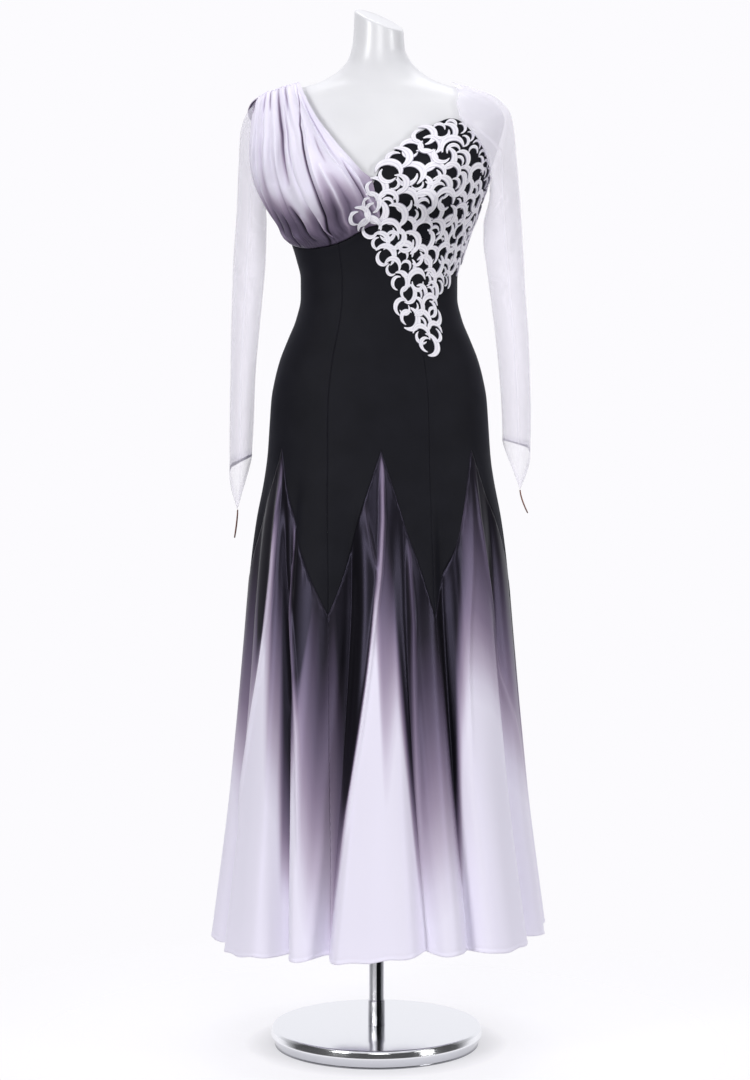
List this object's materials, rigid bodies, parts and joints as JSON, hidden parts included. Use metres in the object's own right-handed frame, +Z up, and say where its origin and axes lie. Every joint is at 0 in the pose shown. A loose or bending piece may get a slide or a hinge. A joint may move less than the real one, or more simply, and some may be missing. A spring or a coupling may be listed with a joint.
{
  "type": "ballroom dance dress on a dress form and stand",
  "caption": "Long ballroom dress with a draped satin and lace bodice, sheer sleeves and flared shaded godets, on a limbless form with a round-based stand.",
  "frame": {"origin": "middle of the stand's underside, on the floor, on the pole's axis", "axes": "+Z up, -Y the dress's front, +X the wearer's left"},
  "size_m": [0.5357, 0.532, 1.6666],
  "materials": {
    "chrome": "mirror-polished chromed steel",
    "white_gloss": "glossy white moulded form",
    "black_crepe": "matt black stretch crepe",
    "satin": "soft satin, shaded from black to pale lavender",
    "mesh": "sheer pale lavender stretch mesh",
    "lace": "white corded guipure lace",
    "elastic": "round brown elastic"
  },
  "bodies": {
    "root": {"stand_base": "chrome", "stand_pole": "chrome", "dress_form": "white_gloss", "left_cup": "black_crepe", "right_drape": "satin", "lace_applique": "lace", "left_sleeve": "mesh", "right_sleeve": "mesh", "left_finger_loop": "elastic", "right_finger_loop": "elastic", "centre_front_panel": "black_crepe", "left_front_panel": "black_crepe", "left_back_panel": "black_crepe", "centre_back_panel": "black_crepe", "right_back_panel": "black_crepe", "right_front_panel": "black_crepe", "front_godet": "satin", "left_front_godet": "satin", "left_back_godet": "satin", "back_godet": "satin", "right_back_godet": "satin", "right_front_godet": "satin"}
  },
  "joints": []
}
